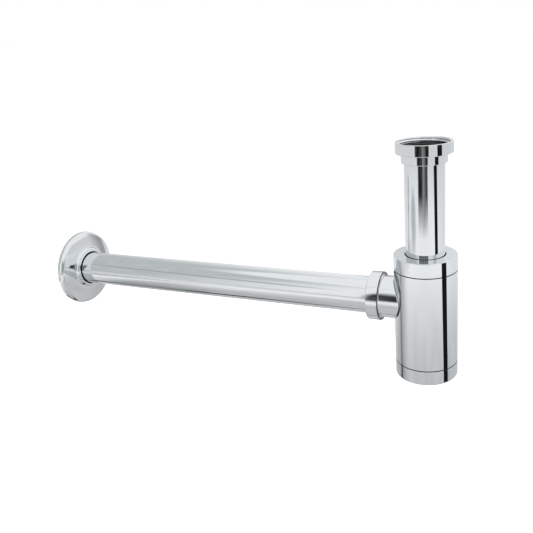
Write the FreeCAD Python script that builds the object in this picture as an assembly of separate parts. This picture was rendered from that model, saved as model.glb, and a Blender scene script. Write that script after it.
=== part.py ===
import FreeCAD, Part
import math
import os

# A bottle trap for a wash basin, in chrome-plated brass, for 1 1/4 inch waste fittings.
# A dip tube hangs from the basin's waste in a coupling nut. A bottle closed by a screwed cap
# and a screwed cup slides and swivels on the tube, and a horizontal pipe runs from the
# bottle's branch through a domed flange to the wall.
# The origin is the centre of the coupling nut's mouth. +Z points up along the dip tube,
# and the outlet pipe runs along -X. All sizes are millimetres.

# Clearances
slip = 0.05              # round pieces that turn or slide on each other, on the radius
seat_gap = 0.05          # flat faces that turn on each other
seam = 0.15              # the fine line between the cap or cup and the bottle
braze_gap = 0.05         # brazed pieces, on the radius
thread_gap = 0.10        # between a thread's crest and the other thread's root

# Dip tube
tube_r = 16.0
tube_wall = 1.0
tube_length = 156.0
collar_width = 3.2       # how far the collar rolled at the tube's top end stands out
collar_t = 1.1
end_chamfer = 0.3        # on the cut ends of the tube and the pipe

# Coupling nut at the basin: a threaded ring above a plain neck
nut_thread_r = 20.955    # root of the 1 1/4 inch pipe thread
nut_ring_wall = 1.645    # from the thread's root to the ring's outside
nut_ring_h = 9.0
nut_neck_wall = 1.95
nut_neck_h = 7.5
nut_neck_gap = 0.2       # between the neck and the tube
nut_floor_t = 1.0
nut_undercut = 0.445     # how much wider the run-out below the thread is
nut_mouth_bevel = 0.545  # how much wider the mouth is than the thread's root
nut_mouth_depth = 0.4
edge_round = 0.5         # on the turned outer edges
inner_round = 0.3

# Flat washer on the tube's collar
inlet_washer_lip = 0.1   # how far the washer stands out past the collar
inlet_washer_back = 0.2  # how far its bore stands back from the tube's
inlet_washer_t = 2.2

# Bottle
exposed_tube = 75.7      # from the nut's neck down to the cap
bottle_r = 26.0
bottle_wall = 1.5
bottle_h = 82.0
cap_h = 12.3
cup_h = 12.9
cap_roof_t = 3.0
cap_hole_gap = 0.5
cup_floor_t = 3.3
cup_round = 1.2          # round on the cup's lower edge
screw_depth = 0.81       # ridge height of the fine thread on the cap, the cup and the outlet nut
neck_inset = 2.2         # from the bottle's bore in to the root of the necks' threads
ring_hold = 7.5          # how far the threaded rings reach into the bottle
ring_bore_gap = 0.6      # between the upper ring and the tube
seat_lip = 0.2           # how far the upper neck rises past the seal's shoulder
base_ring_wall = 2.3

# Tube seal and its slip washer, in the cap
slip_washer_t = 0.9
tube_washer_back = 2.2   # from the cap's threads in to the washer's edge
seal_width = 4.2
seal_band = 1.1          # the seal's straight part, above its cone
seal_cone = 4.0
seal_nose = 1.0          # width left at the tip of the seal's cone

# Gasket in the cup
gasket_back = 0.3        # from the cup's threads in to the gasket's edge
gasket_bore_back = 0.4   # from the lower neck's bore out to the gasket's
gasket_t = 2.0

# Branch on the bottle, distances along the pipe from the tube's axis
outlet_drop = 28.7       # from the bottle's upper end down to the pipe's axis
branch_r = 18.0
branch_reach = 43.3
branch_bore_gap = 0.25
branch_stop_back = 0.3   # from the pipe's bore out to the stop's
branch_stop_reach = 27.5
branch_lip = 0.4         # width of the flat round the branch's conical mouth
branch_mouth_depth = 2.7

# Outlet nut, its slip washer and the pipe seal
outlet_nut_wall = 1.99   # outside the thread's root
outlet_nut_grip = 6.8    # how far the nut reaches over the branch's thread
outlet_nut_end_t = 1.5
outlet_nut_gap = 0.3
pipe_washer_t = 0.8
pipe_washer_back = 0.3   # from the nut's threads in to the washer's edge
pipe_seal_stand = 0.15   # from the branch's end to the seal's shoulder
pipe_seal_band = 1.05
pipe_seal_cone = 2.4
pipe_seal_nose = 0.35    # width left at the tip of the seal's cone

# Outlet pipe
pipe_r = 16.0
pipe_wall = 1.0
pipe_stop_gap = 0.5
wall_reach = 366.4       # from the tube's axis to the wall
pipe_past_wall = 12.0

# Wall flange, heights measured from the wall
flange_r = 37.7
flange_sheet = 1.2
flange_rim_h = 5.2
flange_shoulder = 3.6
flange_crown_r = 23.0
flange_crown_h = 7.4
flange_neck_wall = 1.9
flange_h = 11.3
flange_bore_gap = 1.1
flange_root_round = 2.6
flange_lip_round = 0.7
flange_sleeve_h = 3.0    # where the neck ends behind the dome

# Rubber ring in the flange's neck
ring_section_r = 1.05
ring_height = 6.3
ring_groove_gap = 0.12

# Places worked out from the sizes above
tube_bore = tube_r - tube_wall
collar_r = tube_r + collar_width
nut_ring_r = nut_thread_r + nut_ring_wall
nut_neck_bore = tube_r + nut_neck_gap
nut_bottom = -(nut_ring_h + nut_neck_h)
nut_floor = -(nut_ring_h - nut_floor_t)
collar_under = nut_floor + seat_gap
collar_top = collar_under + collar_t
washer_top = collar_top + seat_gap + inlet_washer_t
tube_end = collar_top - tube_length
cap_top = nut_bottom - exposed_tube
cap_roof = cap_top - cap_roof_t
cap_rim = cap_top - cap_h
bottle_top = cap_rim - seam
bottle_end = bottle_top - bottle_h + 2 * seam
cup_rim = bottle_end - seam
cup_under = cup_rim - cup_h
cup_floor = cup_under + cup_floor_t
bottle_bore = bottle_r - bottle_wall
neck_root_r = bottle_bore - neck_inset
socket_root_r = neck_root_r + screw_depth + thread_gap
base_bore_r = neck_root_r - base_ring_wall
pipe_axis = bottle_top - outlet_drop
pipe_bore = pipe_r - pipe_wall
branch_bore = pipe_r + branch_bore_gap
branch_mouth_r = branch_r - branch_lip
pipe_start = branch_stop_reach + pipe_stop_gap
pipe_end = wall_reach + pipe_past_wall

# The stack under the cap's roof, downwards: slip washer, seal, upper neck
tube_washer_top = cap_roof - seat_gap
tube_seal_top = tube_washer_top - slip_washer_t - seat_gap
tube_seal_shoulder = tube_seal_top - seal_band
upper_neck_top = tube_seal_shoulder + seat_lip

# The stack past the branch's end, towards the wall: seal, slip washer, the nut's end wall
pipe_seal_shoulder = branch_reach + pipe_seal_stand
pipe_seal_end = pipe_seal_shoulder + pipe_seal_band
pipe_washer_start = pipe_seal_end + seat_gap
pipe_washer_end = pipe_washer_start + pipe_washer_t
nut_wall_start = pipe_washer_end + seat_gap
nut_end = nut_wall_start + outlet_nut_end_t
nut_start = branch_reach - outlet_nut_grip
outlet_thread_r = branch_r + screw_depth + thread_gap
outlet_nut_r = outlet_thread_r + outlet_nut_wall

# The rubber ring's groove in the flange's neck
flange_bore = pipe_r + flange_bore_gap
flange_neck_r = flange_bore + flange_neck_wall
groove_r = pipe_r + slip + 2 * ring_section_r + ring_groove_gap
groove_half = ring_section_r + ring_groove_gap


def outline(corners):
    """A closed wire in the XZ plane through (x, z, round) corners, each with its own arc."""
    points = [FreeCAD.Vector(c[0], 0, c[1]) for c in corners]
    count = len(points)
    starts = []
    ends = []
    middles = []
    for i in range(count):
        corner = points[i]
        back = (points[i - 1] - corner).normalize()
        ahead = (points[(i + 1) % count] - corner).normalize()
        radius = corners[i][2]
        if radius <= 0:
            starts.append(corner)
            ends.append(corner)
            middles.append(None)
            continue
        half = back.getAngle(ahead) / 2
        inward = (back + ahead).normalize()
        starts.append(corner + back * (radius / math.tan(half)))
        ends.append(corner + ahead * (radius / math.tan(half)))
        middles.append(corner + inward * (radius / math.sin(half) - radius))
    edges = []
    for i in range(count):
        if middles[i] is not None:
            edges.append(Part.Arc(starts[i], middles[i], ends[i]).toShape())
        following = starts[(i + 1) % count]
        if (following - ends[i]).Length > 1e-6:
            edges.append(Part.LineSegment(ends[i], following).toShape())
    return Part.Wire(edges)


def turned(corners):
    """A solid turned about Z from a section given as (radius, height, round) corners."""
    face = Part.Face(outline(corners))
    return face.revolve(FreeCAD.Vector(0, 0, 0), FreeCAD.Vector(0, 0, 1), 360)


def along_pipe(shape):
    """Lay a turned piece on the pipe's axis: its +Z becomes -X, from the tube's axis."""
    laid = shape.copy()
    laid.rotate(FreeCAD.Vector(0, 0, 0), FreeCAD.Vector(0, 1, 0), -90)
    laid.translate(FreeCAD.Vector(0, 0, pipe_axis))
    return laid


def make_inlet_nut():
    """Coupling nut: a threaded ring with a run-out below the thread, on a plain neck."""
    nut_neck_r = nut_neck_bore + nut_neck_wall
    undercut_r = nut_thread_r + nut_undercut
    undercut_top = washer_top + seat_gap
    return turned([
        (nut_neck_bore, nut_bottom, inner_round),
        (nut_neck_r, nut_bottom, edge_round),
        (nut_neck_r, -nut_ring_h, 0),
        (nut_ring_r, -nut_ring_h, edge_round),
        (nut_ring_r, 0, inner_round),
        (nut_thread_r + nut_mouth_bevel, 0, 0),
        (nut_thread_r, -nut_mouth_depth, 0),
        (nut_thread_r, undercut_top, 0),
        (undercut_r, undercut_top, 0),
        (undercut_r, nut_floor, inner_round),
        (nut_neck_bore, nut_floor, 0),
    ])


def make_inlet_washer():
    """Flat rubber washer that lies on the tube's collar inside the coupling nut."""
    under = collar_top + seat_gap
    bore = tube_bore + inlet_washer_back
    outer_r = collar_r + inlet_washer_lip
    return turned([
        (bore, under, inner_round),
        (outer_r, under, inner_round),
        (outer_r, washer_top, inner_round),
        (bore, washer_top, inner_round),
    ])


def make_inlet_tube():
    """Dip tube with its upper end rolled outwards into a collar."""
    roll = collar_t + inner_round
    return turned([
        (tube_bore, tube_end, 0),
        (tube_r - end_chamfer, tube_end, 0),
        (tube_r, tube_end + end_chamfer, 0),
        (tube_r, collar_under, inner_round),
        (collar_r, collar_under, inner_round),
        (collar_r, collar_top, inner_round),
        (tube_bore, collar_top, roll),
    ])


def make_cap():
    """Top cap: a threaded skirt over the bottle's upper neck and a roof pierced for the tube."""
    hole_r = tube_r + cap_hole_gap
    return turned([
        (socket_root_r, cap_rim, 0),
        (bottle_r, cap_rim, inner_round),
        (bottle_r, cap_top, edge_round),
        (hole_r, cap_top, inner_round),
        (hole_r, cap_roof, 0),
        (socket_root_r, cap_roof, inner_round),
    ])


def make_tube_washer():
    """Slip washer between the cap's roof and the tube seal."""
    under = tube_washer_top - slip_washer_t
    bore = tube_r + cap_hole_gap
    outer_r = socket_root_r - tube_washer_back
    return turned([
        (bore, under, 0),
        (outer_r, under, inner_round),
        (outer_r, tube_washer_top, inner_round),
        (bore, tube_washer_top, 0),
    ])


def make_tube_seal():
    """Conical rubber ring that grips the dip tube in the mouth of the bottle's upper neck."""
    bore = tube_r + slip
    nose = tube_seal_shoulder - seal_cone
    outer_r = tube_r + seal_width
    return turned([
        (bore, nose, 0),
        (tube_r + seal_nose, nose, 0),
        (outer_r, tube_seal_shoulder, 0),
        (outer_r, tube_seal_top, inner_round),
        (bore, tube_seal_top, 0),
    ])


def make_top_ring():
    """Threaded ring brazed into the bottle's upper end, with the tube seal's conical seat."""
    slope = (seal_width - seal_nose) / seal_cone
    seat_top_r = tube_r + seal_width + 2 * slip + slope * seat_lip
    seat_bottom = tube_seal_shoulder - seal_cone - 4 * slip
    seat_bottom_r = seat_top_r - slope * (upper_neck_top - seat_bottom)
    bore = tube_r + ring_bore_gap
    ring_r = bottle_bore - braze_gap
    return turned([
        (bore, bottle_top - ring_hold, inner_round),
        (ring_r, bottle_top - ring_hold, inner_round),
        (ring_r, bottle_top, 0),
        (neck_root_r, bottle_top, 0),
        (neck_root_r, upper_neck_top, inner_round),
        (seat_top_r, upper_neck_top, 0),
        (seat_bottom_r, seat_bottom, 0),
        (bore, seat_bottom, 0),
    ])


def make_base_ring():
    """Threaded ring brazed into the bottle's lower end, which the cup screws on to."""
    ring_r = bottle_bore - braze_gap
    neck_end = cup_floor + gasket_t + 2 * seat_gap
    return turned([
        (base_bore_r, neck_end, inner_round),
        (neck_root_r, neck_end, inner_round),
        (neck_root_r, bottle_end, 0),
        (ring_r, bottle_end, 0),
        (ring_r, bottle_end + ring_hold, inner_round),
        (base_bore_r, bottle_end + ring_hold, inner_round),
    ])


def make_bottle():
    """Bottle: a drawn tube with a round hole in its side for the branch."""
    shell = turned([
        (bottle_bore, bottle_end, 0),
        (bottle_r, bottle_end, inner_round),
        (bottle_r, bottle_top, inner_round),
        (bottle_bore, bottle_top, 0),
    ])
    hole = Part.makeCylinder(branch_r + braze_gap, bottle_r + branch_reach)
    return shell.cut(along_pipe(hole))


def make_branch():
    """Branch: a turned stub with a stop for the pipe and a conical mouth for its seal."""
    stop_r = pipe_bore + branch_stop_back
    stub = turned([
        (stop_r, 0, 0),
        (branch_r, 0, 0),
        (branch_r, branch_reach, 0),
        (branch_mouth_r, branch_reach, 0),
        (branch_bore, branch_reach - branch_mouth_depth, 0),
        (branch_bore, branch_stop_reach, 0),
        (stop_r, branch_stop_reach, 0),
    ])
    inside = Part.makeCylinder(bottle_bore, bottle_h)
    inside.translate(FreeCAD.Vector(0, 0, bottle_end))
    return along_pipe(stub).cut(inside)


def make_cup():
    """Cleaning cup: a threaded skirt and a thick floor that a gasket lies on."""
    return turned([
        (0, cup_under, 0),
        (bottle_r, cup_under, cup_round),
        (bottle_r, cup_rim, inner_round),
        (socket_root_r, cup_rim, 0),
        (socket_root_r, cup_floor, inner_round),
        (0, cup_floor, 0),
    ])


def make_cup_gasket():
    """Flat rubber gasket between the cup's floor and the lower neck."""
    under = cup_floor + seat_gap
    bore = base_bore_r + gasket_bore_back
    outer_r = socket_root_r - gasket_back
    return turned([
        (bore, under, inner_round),
        (outer_r, under, inner_round),
        (outer_r, under + gasket_t, inner_round),
        (bore, under + gasket_t, inner_round),
    ])


def make_outlet_nut():
    """Outlet nut: a plain ring, threaded inside, with an end wall pierced for the pipe."""
    hole_r = pipe_r + outlet_nut_gap
    return along_pipe(turned([
        (outlet_thread_r, nut_start, 0),
        (outlet_nut_r, nut_start, inner_round),
        (outlet_nut_r, nut_end, edge_round),
        (hole_r, nut_end, inner_round),
        (hole_r, nut_wall_start, 0),
        (outlet_thread_r, nut_wall_start, 0),
    ]))


def make_pipe_washer():
    """Slip washer between the outlet nut's end wall and the pipe seal."""
    bore = pipe_r + outlet_nut_gap
    outer_r = outlet_thread_r - pipe_washer_back
    return along_pipe(turned([
        (bore, pipe_washer_start, 0),
        (outer_r, pipe_washer_start, 0),
        (outer_r, pipe_washer_end, 0),
        (bore, pipe_washer_end, 0),
    ]))


def make_pipe_seal():
    """Conical rubber ring that grips the pipe in the branch's mouth."""
    bore = pipe_r + slip
    slope = (branch_mouth_r - branch_bore) / branch_mouth_depth
    nose = pipe_seal_shoulder - pipe_seal_cone
    cone_r = bore + pipe_seal_nose + slope * pipe_seal_cone
    return along_pipe(turned([
        (bore, nose, 0),
        (bore + pipe_seal_nose, nose, 0),
        (cone_r, pipe_seal_shoulder, 0),
        (branch_r, pipe_seal_shoulder, 0),
        (branch_r, pipe_seal_end, inner_round),
        (bore, pipe_seal_end, 0),
    ]))


def make_pipe():
    """Outlet pipe, from the branch's stop through the flange to just past the wall."""
    return along_pipe(turned([
        (pipe_bore, pipe_start, 0),
        (pipe_r - end_chamfer, pipe_start, 0),
        (pipe_r, pipe_start + end_chamfer, 0),
        (pipe_r, pipe_end - end_chamfer, 0),
        (pipe_r - end_chamfer, pipe_end, 0),
        (pipe_bore, pipe_end, 0),
    ]))


def make_flange():
    """Wall flange: a pressed dish with a rolled rim and a grooved neck round the pipe."""
    inner_r = flange_r - flange_sheet
    inner_crown = flange_crown_h - flange_sheet
    inner_rim = flange_rim_h - flange_sheet
    sleeve_r = flange_neck_r - inner_round
    dish = turned([
        (flange_r, 0, inner_round),
        (flange_r, flange_rim_h, flange_shoulder),
        (flange_crown_r, flange_crown_h, 0),
        (flange_neck_r, flange_crown_h, flange_root_round),
        (flange_neck_r, flange_h, flange_lip_round),
        (flange_bore, flange_h, inner_round),
        (flange_bore, ring_height + groove_half, 0),
        (groove_r, ring_height + groove_half, 0),
        (groove_r, ring_height - groove_half, 0),
        (flange_bore, ring_height - groove_half, 0),
        (flange_bore, flange_sleeve_h, inner_round),
        (sleeve_r, flange_sleeve_h, inner_round),
        (sleeve_r, inner_crown, inner_round),
        (flange_crown_r, inner_crown, 0),
        (inner_r, inner_rim, flange_shoulder - flange_sheet),
        (inner_r, 0, inner_round),
    ])
    dish.rotate(FreeCAD.Vector(0, 0, 0), FreeCAD.Vector(1, 0, 0), 180)
    dish.translate(FreeCAD.Vector(0, 0, wall_reach))
    return along_pipe(dish)


def make_flange_ring():
    """Rubber ring in the neck's groove, which holds the flange where it is slid to."""
    ring = Part.makeTorus(pipe_r + slip + ring_section_r, ring_section_r)
    ring.translate(FreeCAD.Vector(0, 0, wall_reach - ring_height))
    return along_pipe(ring)


pieces = {
    "inlet_nut": make_inlet_nut,
    "inlet_washer": make_inlet_washer,
    "inlet_tube": make_inlet_tube,
    "cap": make_cap,
    "tube_slip_washer": make_tube_washer,
    "tube_seal": make_tube_seal,
    "bottle": make_bottle,
    "bottle_top_ring": make_top_ring,
    "bottle_base_ring": make_base_ring,
    "outlet_branch": make_branch,
    "cup": make_cup,
    "cup_gasket": make_cup_gasket,
    "outlet_nut": make_outlet_nut,
    "pipe_slip_washer": make_pipe_washer,
    "pipe_seal": make_pipe_seal,
    "outlet_pipe": make_pipe,
    "wall_flange": make_flange,
    "flange_ring": make_flange_ring,
}

os.makedirs("parts", exist_ok=True)
for node, make in pieces.items():
    shape = make()
    shape.exportStep("parts/" + node + ".step")
    print(node, shape.isValid(), len(shape.Solids), round(shape.Volume, 1))
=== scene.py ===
import math

import bpy
import numpy as np
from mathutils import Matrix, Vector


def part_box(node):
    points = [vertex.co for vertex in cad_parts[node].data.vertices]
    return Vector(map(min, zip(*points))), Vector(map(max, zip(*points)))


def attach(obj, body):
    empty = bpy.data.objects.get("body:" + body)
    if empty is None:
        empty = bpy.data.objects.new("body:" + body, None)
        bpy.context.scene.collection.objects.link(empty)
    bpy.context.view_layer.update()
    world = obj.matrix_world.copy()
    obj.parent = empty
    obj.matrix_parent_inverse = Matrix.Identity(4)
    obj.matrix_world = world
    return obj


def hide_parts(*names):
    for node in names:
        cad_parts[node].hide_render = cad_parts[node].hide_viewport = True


# Basin trap: a chrome-plated bottle trap for a wash basin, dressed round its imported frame.
# The dip tube's axis is the frame's Z axis and the outlet pipe runs along -X.
# Profiles are written in millimetres, and each mesh is turned into metres as it is made.
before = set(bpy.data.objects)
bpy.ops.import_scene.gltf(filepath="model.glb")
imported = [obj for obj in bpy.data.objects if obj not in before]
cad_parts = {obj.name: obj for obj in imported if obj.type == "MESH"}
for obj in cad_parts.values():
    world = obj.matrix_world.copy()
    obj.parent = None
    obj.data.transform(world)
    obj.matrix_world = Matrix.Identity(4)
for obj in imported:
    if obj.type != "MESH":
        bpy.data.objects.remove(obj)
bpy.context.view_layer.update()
scene = bpy.context.scene
scene.view_settings.view_transform = "Standard"

# Coupling nut: a turned brass nut, chrome plated, that screws on to the basin's waste.
# A pipe thread with a run-out below it is cut in its ring, and the plain neck below the ring
# hides the tube's collar. Turning, threading and plating are defined here, and serve all.
MM = 0.001
TURN_STEPS = 192
ARC_ROWS = 8             # rows on the arc of a full millimetre's round or more
LEAST_ARC_ROWS = 3       # rows that every arc has besides
THREAD_ROWS = 14         # rows for each turn of a thread
PANEL_ROWS = 24          # rows of a wall's panel round a hole
EDGE_SUPPORT = 0.10      # how close to a side's ends its first and last rows lie
SHORT_SIDE = 4 * EDGE_SUPPORT
SHARP_ANGLE = 60.0
PAINTED_SHADE_REACH = 0.35     # how far the painted shade of a seam or gap comes up its rounded edges
RIDGE_FOOT = 0.88        # from the middle of a ridge's crest to its foot, in half pitches
RIDGE_FLANK = 0.76       # the width of its flank, in half pitches
THREAD_FADE = 0.6        # turns over which the ridges fade out at a thread's ends
PLAIN, THREAD, PANEL = 0, 1, 2


def section(corners, pitch=1.0, closed=True):
    """Rows (radius, height, side) along an outline of (radius, height, round, side) corners.

    A corner's arc touches both its sides: its centre lies on their bisector, the round over
    the sine of half their angle away, and it is swept evenly. A plain side gets a row close
    to each end, which keeps its shading flat. A THREAD side after a corner gets rows for
    every turn, and a PANEL side the even rows of a panel. A SHORT_SIDE gets none.
    """
    points = np.array([corner[:2] for corner in corners], float)
    count = len(points)
    before = np.roll(points, 1, axis=0) - points
    after = np.roll(points, -1, axis=0) - points
    before /= np.linalg.norm(before, axis=1)[:, None]
    after /= np.linalg.norm(after, axis=1)[:, None]
    half = 0.5 * np.arccos(np.clip((before * after).sum(axis=1), -1, 1))
    rounds = np.array([corner[2] for corner in corners], float)
    reach = rounds / np.tan(half)
    rows = []
    for i, corner in enumerate(corners):
        start, end = points[i] + before[i] * reach[i], points[i] + after[i] * reach[i]
        arc = start[None]
        if rounds[i] > 0:
            inward = (before[i] + after[i]) / np.linalg.norm(before[i] + after[i])
            centre = points[i] + inward * rounds[i] / np.sin(half[i])
            first, last = start - centre, end - centre
            steps = LEAST_ARC_ROWS + int(ARC_ROWS * min(rounds[i], 1.0))
            turn = np.arctan2(first[0] * last[1] - first[1] * last[0], first @ last)
            angle = np.arctan2(first[1], first[0]) + turn * np.linspace(0, 1, steps)
            arc = centre + rounds[i] * np.stack([np.cos(angle), np.sin(angle)], axis=1)
        rows.append(np.column_stack([arc, np.zeros(len(arc))]))
        if i == count - 1 and not closed:
            break
        following = (i + 1) % count
        along = points[following] + before[following] * reach[following] - end
        length = np.linalg.norm(along)
        side = corner[3] if len(corner) > 3 else PLAIN
        if length > SHORT_SIDE:
            near = EDGE_SUPPORT / length
            share = {PLAIN: np.array([near, 1 - near]),
                     THREAD: np.linspace(near, 1 - near, int(THREAD_ROWS * length / pitch)),
                     PANEL: np.linspace(0, 1, PANEL_ROWS + 1)[1:-1]}[side]
            rows.append(np.column_stack([end + share[:, None] * along, np.full(len(share), side)]))
    return np.concatenate(rows)


def turned(rows, depth=0.0, pitch=1.0, shift=0.0):
    """Grid of points (row, step, 3) turned about Z: x is the radius times the cosine of the
    step's angle and y times its sine. On threaded rows the radius grows by depth times a
    ridge, a trapezoid wave in height over pitch less turns, which fades out at both ends."""
    angle = np.linspace(0, 2 * np.pi, TURN_STEPS, endpoint=False)[None]
    radius, height = rows[:, :1] + 0 * angle, rows[:, 1:2] + 0 * angle
    cut = rows[:, 2] == THREAD
    if cut.any():
        low, high = rows[cut, 1].min(), rows[cut, 1].max()
        phase = np.mod(height / pitch - angle / (2 * np.pi) + shift, 1)
        ridge = np.clip((RIDGE_FOOT - np.abs(2 * phase - 1)) / RIDGE_FLANK, 0, 1)
        fade = np.clip(np.minimum(height - low, high - height) / (THREAD_FADE * pitch), 0, 1)
        radius = radius + np.where(cut[:, None], depth * fade * ridge, 0)
    return np.stack([radius * np.cos(angle), radius * np.sin(angle), height], axis=2)


def quads(ids):
    """Faces between neighbours in a grid of vertex numbers, wrapped round its steps."""
    beside = np.roll(ids, -1, axis=1)
    return np.stack([ids[:-1], beside[:-1], beside[1:], ids[1:]], axis=-1).reshape(-1, 4)


def lathe(points, closed=True):
    """Vertices and faces of a turned grid. A closed one joins its last row to its first, and
    an open one, whose ends lie on the axis, gets a fan round a centre point at each end."""
    rows, steps = points.shape[:2]
    ids = np.arange(rows * steps).reshape(rows, steps)
    vertices = points.reshape(-1, 3)
    if closed:
        return vertices, quads(np.concatenate([ids, ids[:1]])).tolist()
    beside = np.roll(ids, -1, axis=1)
    low = np.stack([np.full(steps, rows * steps), beside[0], ids[0]], axis=1)
    high = np.stack([np.full(steps, rows * steps + 1), ids[-1], beside[-1]], axis=1)
    centres = points[[0, -1]].mean(axis=1)
    return np.concatenate([vertices, centres]), quads(ids).tolist() + low.tolist() + high.tolist()


def painted_shade_at(vertices, *heights):
    """1 on the vertices that lie close to one of the heights along Z, where shade is painted, else
    0.
    """
    return np.min([np.abs(vertices[:, 2] - height) for height in heights], axis=0) < PAINTED_SHADE_REACH


def made(name, shape, body, node, material, painted_shade=None):
    """A smooth piece from computed vertices and faces, which rides on its body and stands for its
    CAD node. Its metal is darkened with painted shade in seams and gaps, a number from 0 to 1 on
    each vertex."""
    vertices, faces = shape
    mesh = bpy.data.meshes.new(name)
    mesh.from_pydata((vertices * MM).tolist(), [], faces)
    mesh.shade_smooth()
    mesh.set_sharp_from_angle(angle=math.radians(SHARP_ANGLE))
    mesh.materials.append(material)
    if painted_shade is not None:
        stored = mesh.attributes.new("painted_shade", "FLOAT", "POINT")
        stored.data.foreach_set("value", painted_shade.astype(np.float32))
    piece = bpy.data.objects.new(name, mesh)
    scene.collection.objects.link(piece)
    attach(piece, body)
    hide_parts(node)


def span(node, axis=2):
    """A CAD node's lowest and highest place along one axis, in millimetres."""
    low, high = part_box(node)
    return low[axis] / MM, high[axis] / MM


def math_node(tree, operation, *inputs):
    """A Math node whose inputs are sockets or plain numbers, and its result."""
    node = tree.nodes.new("ShaderNodeMath")
    node.operation = operation
    for place, value in enumerate(inputs):
        if isinstance(value, (int, float)):
            node.inputs[place].default_value = value
        else:
            tree.links.new(value, node.inputs[place])
    return node.outputs[0]


def noise_node(tree, vector, scale, detail, distortion=0.0):
    """A noise texture on a vector socket, and its factor."""
    node = tree.nodes.new("ShaderNodeTexNoise")
    node.inputs["Scale"].default_value = scale
    node.inputs["Detail"].default_value = detail
    node.inputs["Distortion"].default_value = distortion
    tree.links.new(vector, node.inputs["Vector"])
    return node.outputs["Fac"]


def new_group(name, inputs, outputs):
    """An empty shader group with float inputs (name, value) and float outputs, then the
    sockets that give its inputs and those that take its outputs."""
    group = bpy.data.node_groups.new(name, "ShaderNodeTree")
    for label, value in inputs:
        socket = group.interface.new_socket(label, in_out="INPUT", socket_type="NodeSocketFloat")
        socket.default_value = value
    for label in outputs:
        group.interface.new_socket(label, in_out="OUTPUT", socket_type="NodeSocketFloat")
    given = group.nodes.new("NodeGroupInput").outputs
    result = group.nodes.new("NodeGroupOutput").inputs
    return group, given, result


# Marks of polishing: fine lines along the polishing, broad ripples under the plate and faint
# finger smears. Line X, Y and Z say how often the lines cross each axis, in a metre.
RIPPLE_SCALE = 38.0
SMEAR_SCALE = 30.0
SMEAR_CONTRAST = 5.0
LINE_TONE = 0.05
LINE_ROUGHNESS = 0.02
LINE_HEIGHT = 0.03
polish, given, result = new_group(
    "polish_marks",
    [("Line X", 30.0), ("Line Y", 30.0), ("Line Z", 900.0),
     ("Plain Roughness", 0.04), ("Smear", 0.03)],
    ["Tone", "Roughness", "Height"])
place = polish.nodes.new("ShaderNodeTexCoord").outputs["Object"]
apart = polish.nodes.new("ShaderNodeSeparateXYZ")
polish.links.new(place, apart.inputs[0])
stretched = polish.nodes.new("ShaderNodeCombineXYZ")
for axis in "XYZ":
    scaled = math_node(polish, "MULTIPLY", apart.outputs[axis], given["Line " + axis])
    polish.links.new(scaled, stretched.inputs[axis])
lines = noise_node(polish, stretched.outputs[0], scale=1.0, detail=3.0)
ripples = noise_node(polish, place, RIPPLE_SCALE, detail=1.0)
smears = noise_node(polish, place, SMEAR_SCALE, detail=4.0, distortion=0.6)
patches = math_node(polish, "MULTIPLY", math_node(polish, "SUBTRACT", smears, 0.5), SMEAR_CONTRAST)
patches = math_node(polish, "MINIMUM", math_node(polish, "MAXIMUM", patches, 0.0), 1.0)
smeared = math_node(polish, "MULTIPLY_ADD", patches, given["Smear"], given["Plain Roughness"])
tone = math_node(polish, "MULTIPLY_ADD", lines, LINE_TONE, 1 - LINE_TONE)
polish.links.new(tone, result["Tone"])
rough = math_node(polish, "MULTIPLY_ADD", lines, LINE_ROUGHNESS, smeared)
polish.links.new(rough, result["Roughness"])
raised = math_node(polish, "MULTIPLY_ADD", lines, LINE_HEIGHT, ripples)
polish.links.new(raised, result["Height"])

# Bare metal inside: 1 where a point is nearer to an axis than the given radius, in metres.
# Round Pipe is 0 for the dip tube's axis and 1 for the outlet pipe's.
inside, given, result = new_group(
    "inside_mask", [("Radius", 0.015), ("Round Pipe", 0.0), ("Pipe Height", 0.0)], ["Mask"])
apart = inside.nodes.new("ShaderNodeSeparateXYZ")
inside.links.new(inside.nodes.new("ShaderNodeTexCoord").outputs["Object"], apart.inputs[0])
above = math_node(inside, "SUBTRACT", apart.outputs["Z"], given["Pipe Height"])
away = math_node(inside, "SUBTRACT", above, apart.outputs["X"])
across = math_node(inside, "MULTIPLY_ADD", away, given["Round Pipe"], apart.outputs["X"])
squares = math_node(inside, "MULTIPLY", apart.outputs["Y"], apart.outputs["Y"])
squares = math_node(inside, "MULTIPLY_ADD", across, across, squares)
nearer = math_node(inside, "LESS_THAN", math_node(inside, "SQRT", squares), given["Radius"])
inside.links.new(nearer, result["Mask"])

CHROME = (0.785, 0.815, 0.84)
BRASS = (0.72, 0.56, 0.28)
PIPE_AXIS = 0.5 * sum(span("outlet_pipe"))
ROUND_THE_TUBE = (30.0, 30.0, 1100.0)
ALONG_THE_PIPE = (12.0, 1100.0, 1100.0)
ROUND_THE_PIPE = (1100.0, 30.0, 30.0)
# how dark the painted shade in seams and gaps makes the metal
PAINTED_SHADE_DARK = 0.95
BARE_ROUGHER = 0.25      # how much rougher the bare metal inside is
POLISH_BUMP = 0.5
POLISH_BUMP_HEIGHT = 0.00002


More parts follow.
